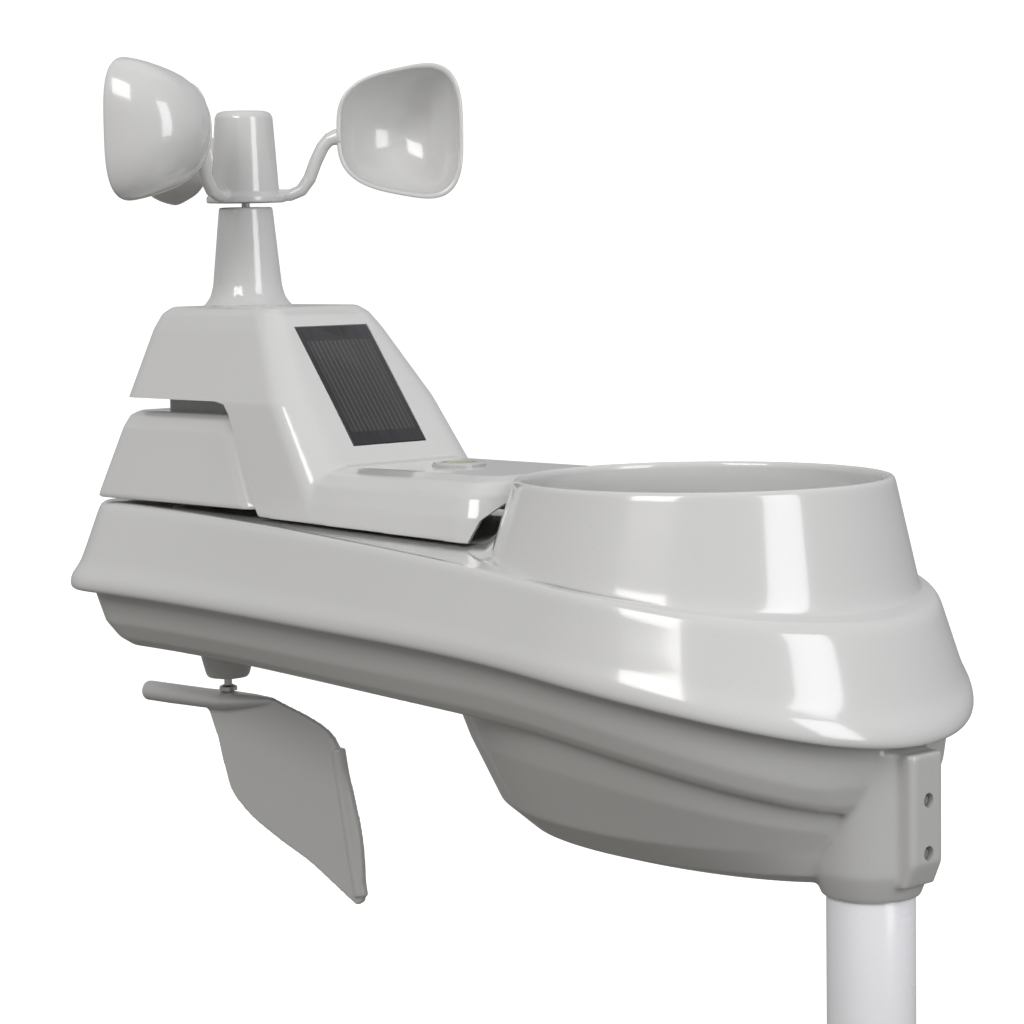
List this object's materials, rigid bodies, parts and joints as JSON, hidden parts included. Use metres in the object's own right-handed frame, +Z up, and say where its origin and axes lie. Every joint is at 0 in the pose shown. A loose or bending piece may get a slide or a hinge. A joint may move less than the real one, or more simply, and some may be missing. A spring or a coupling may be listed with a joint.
{
  "type": "weather_station",
  "caption": "Home weather station head on a short pole, with wind cups, wind vane, rain gauge, solar panel on a fan-drawn shield and battery bay",
  "frame": {"origin": "centre of the foot's underside, on the pole's axis", "axes": "+Z up along the pole, -X towards the wind cups and the vane, Y = 0 is the body's symmetry plane"},
  "size_m": [0.4125, 0.1531, 0.411],
  "materials": {
    "shell": "gloss",
    "tub": "satin",
    "pole": "satin",
    "cell": "gloss",
    "steel": "brushed",
    "brass": "satin",
    "black": "matte",
    "board": "satin",
    "battery": "gloss",
    "rubber": "matte",
    "lens": "gloss"
  },
  "bodies": {
    "station": {"battery_1": "battery", "battery_2": "battery", "battery_3": "battery", "battery_4": "battery", "battery_contact_1": "steel", "battery_contact_2": "steel", "battery_tray": "tub", "bubble_level_body": "tub", "bubble_level_lens": "lens", "bucket_axle": "steel", "bucket_cradle": "tub", "bucket_stop_1": "steel", "bucket_stop_2": "steel", "climate_sensor": "board", "debris_screen": "tub", "fan_frame": "black", "foot_screw": "steel", "housing_screw_1": "steel", "housing_screw_2": "steel", "housing_screw_3": "steel", "louver_ring": "shell", "lower_bush": "brass", "lower_housing": "tub", "main_board": "board", "mast_pole": "pole", "pole_foot": "tub", "radio_module": "steel", "rain_funnel": "tub", "rain_reed_switch": "black", "shield_core": "tub", "socket_screw_1": "steel", "socket_screw_2": "steel", "solar_panel": "cell", "solar_roof": "shell", "upper_bush": "brass", "upper_shell": "shell", "vane_bush": "brass", "vane_sensor_board": "board", "wind_reed_switch": "black"},
    "wind_rotor": {"cup_hub": "shell", "wind_cup_1": "shell", "wind_cup_2": "shell", "wind_cup_3": "shell", "anemometer_shaft": "steel", "rotor_magnet": "black", "hub_grub_screw": "steel"},
    "vane": {"wind_vane": "tub", "vane_shaft": "steel", "vane_nut": "steel", "vane_magnet": "black"},
    "bucket": {"tipping_bucket": "tub", "bucket_magnet": "black"},
    "fan": {"fan_rotor": "black"},
    "door": {"battery_door": "tub", "battery_door_seal": "rubber"}
  },
  "joints": [
    {"name": "wind_spin", "type": "hinge", "parent": "station", "child": "wind_rotor", "pos_m": [-0.2895, 0, 0.3864], "axis": [0, 0, 1], "continuous": true},
    {"name": "vane_turn", "type": "hinge", "parent": "station", "child": "vane", "pos_m": [-0.307, 0, 0.175], "axis": [0, 0, 1], "continuous": true},
    {"name": "bucket_tip", "type": "hinge", "parent": "station", "child": "bucket", "pos_m": [-0.0658, 0, 0.18], "axis": [0, 1, 0], "range_deg": [0, 34]},
    {"name": "fan_spin", "type": "hinge", "parent": "station", "child": "fan", "pos_m": [-0.2895, 0, 0.286], "axis": [0, 0, 1], "continuous": true},
    {"name": "battery_door_hinge", "type": "hinge", "parent": "station", "child": "door", "pos_m": [-0.1615, 0, 0.1999], "axis": [0, -1, 0], "range_deg": [0, 85]}
  ]
}
